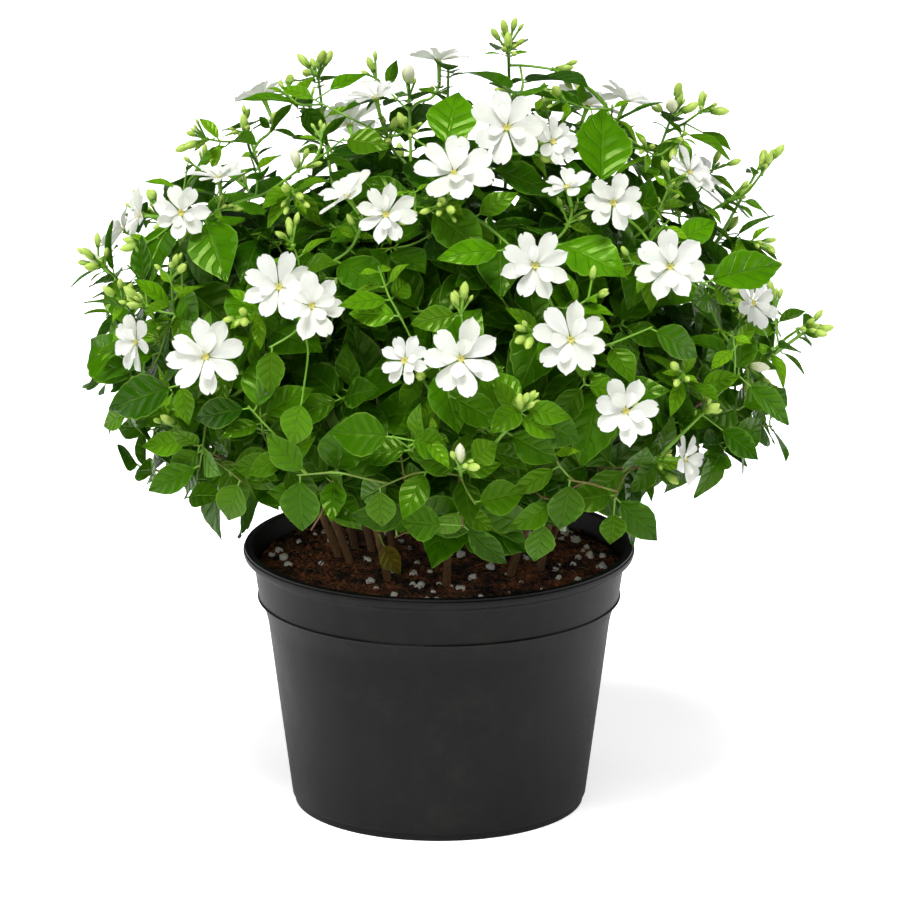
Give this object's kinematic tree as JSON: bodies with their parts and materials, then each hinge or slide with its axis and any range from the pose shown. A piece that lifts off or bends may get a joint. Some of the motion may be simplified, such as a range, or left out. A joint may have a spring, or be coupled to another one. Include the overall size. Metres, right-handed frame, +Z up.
{
  "type": "potted flowering shrub",
  "caption": "Potted Arabian jasmine in flower: a rounded crown of glossy opposite leaves and white double blooms on thin stems, in a round black nursery pot.",
  "frame": {"origin": "centre of the pot's flat underside, on what it stands on", "axes": "+Z up along the pot's axis; -Y towards the side seen in the picture; +X to that side's right"},
  "size_m": [0.3807, 0.3451, 0.3936],
  "materials": {
    "pot_plastic": "satin",
    "peat_soil": "matte",
    "leaf_green": "satin",
    "petal_white": "matte"
  },
  "bodies": {
    "root": {"pot": "pot_plastic", "soil": "peat_soil", "stem_01": "leaf_green", "stem_02": "leaf_green", "stem_03": "leaf_green", "stem_04": "leaf_green", "stem_05": "leaf_green", "stem_06": "leaf_green", "stem_07": "leaf_green", "stem_08": "leaf_green", "stem_09": "leaf_green", "stem_10": "leaf_green", "stem_11": "leaf_green", "stem_12": "leaf_green", "stem_13": "leaf_green", "stem_14": "leaf_green", "stem_15": "leaf_green", "stem_16": "leaf_green", "stem_17": "leaf_green", "stem_18": "leaf_green", "stem_19": "leaf_green", "stem_20": "leaf_green", "bloom_01": "petal_white", "bloom_02": "petal_white", "bloom_03": "petal_white", "bloom_04": "petal_white", "bloom_05": "petal_white", "bloom_06": "petal_white", "bloom_07": "petal_white", "bloom_08": "petal_white", "bloom_09": "petal_white", "bloom_10": "petal_white", "bloom_11": "petal_white", "bloom_12": "petal_white", "bloom_13": "petal_white", "bloom_14": "petal_white", "bloom_15": "petal_white", "bloom_16": "petal_white", "bloom_17": "petal_white", "bloom_18": "petal_white", "bloom_19": "petal_white", "bloom_20": "petal_white", "bloom_21": "petal_white", "bloom_22": "petal_white", "bloom_23": "petal_white", "bloom_24": "petal_white", "bloom_25": "petal_white", "bloom_26": "petal_white", "bloom_27": "petal_white", "bloom_28": "petal_white", "bloom_29": "petal_white", "bloom_30": "petal_white", "bloom_31": "petal_white", "bloom_32": "petal_white", "bloom_33": "petal_white"}
  },
  "joints": []
}
